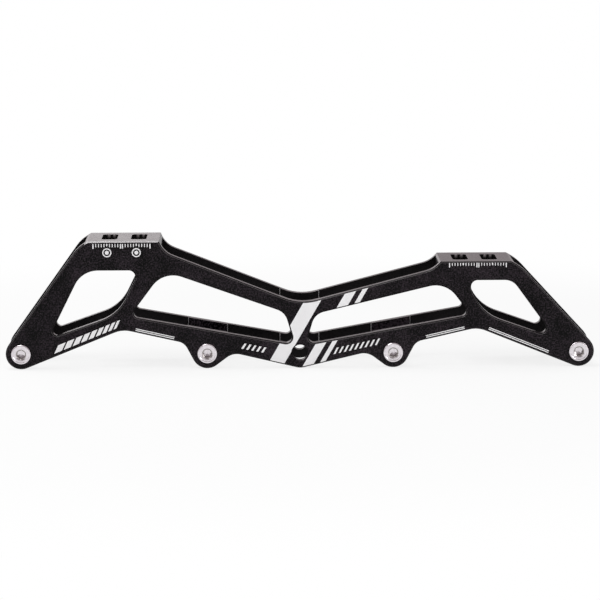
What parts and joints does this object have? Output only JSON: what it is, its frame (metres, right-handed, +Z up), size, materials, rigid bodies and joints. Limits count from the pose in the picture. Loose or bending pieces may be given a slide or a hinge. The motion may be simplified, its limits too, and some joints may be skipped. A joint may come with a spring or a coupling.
{
  "type": "inline skate frame",
  "caption": "Machined inline skate frame: a windowed channel on rounded axle lobes, with raised heel and toe boot platforms and removable screwed wheel axles.",
  "frame": {"origin": "under the middle axle hole, halfway between the side walls, at the height of the lowest points of the axle lobes", "axes": "+X from heel to toe along the axle line, +Z up to the boot platforms, -Y the side on which the axle heads are"},
  "size_m": [0.3018, 0.0355, 0.066],
  "materials": {
    "channel": "black anodised, fine satin",
    "axles": "bright nickel plate"
  },
  "bodies": {
    "channel": {"frame_channel": "channel"},
    "rear_axle_body": {"rear_axle": "axles"},
    "rear_middle_axle_body": {"rear_middle_axle": "axles"},
    "front_middle_axle_body": {"front_middle_axle": "axles"},
    "front_axle_body": {"front_axle": "axles"}
  },
  "joints": [
    {"name": "rear_axle_pull", "type": "slide", "parent": "channel", "child": "rear_axle_body", "axis": [0, -1, 0], "range_m": [0, 0.036]},
    {"name": "rear_middle_axle_pull", "type": "slide", "parent": "channel", "child": "rear_middle_axle_body", "axis": [0, -1, 0], "range_m": [0, 0.036]},
    {"name": "front_middle_axle_pull", "type": "slide", "parent": "channel", "child": "front_middle_axle_body", "axis": [0, -1, 0], "range_m": [0, 0.036]},
    {"name": "front_axle_pull", "type": "slide", "parent": "channel", "child": "front_axle_body", "axis": [0, -1, 0], "range_m": [0, 0.036]}
  ]
}
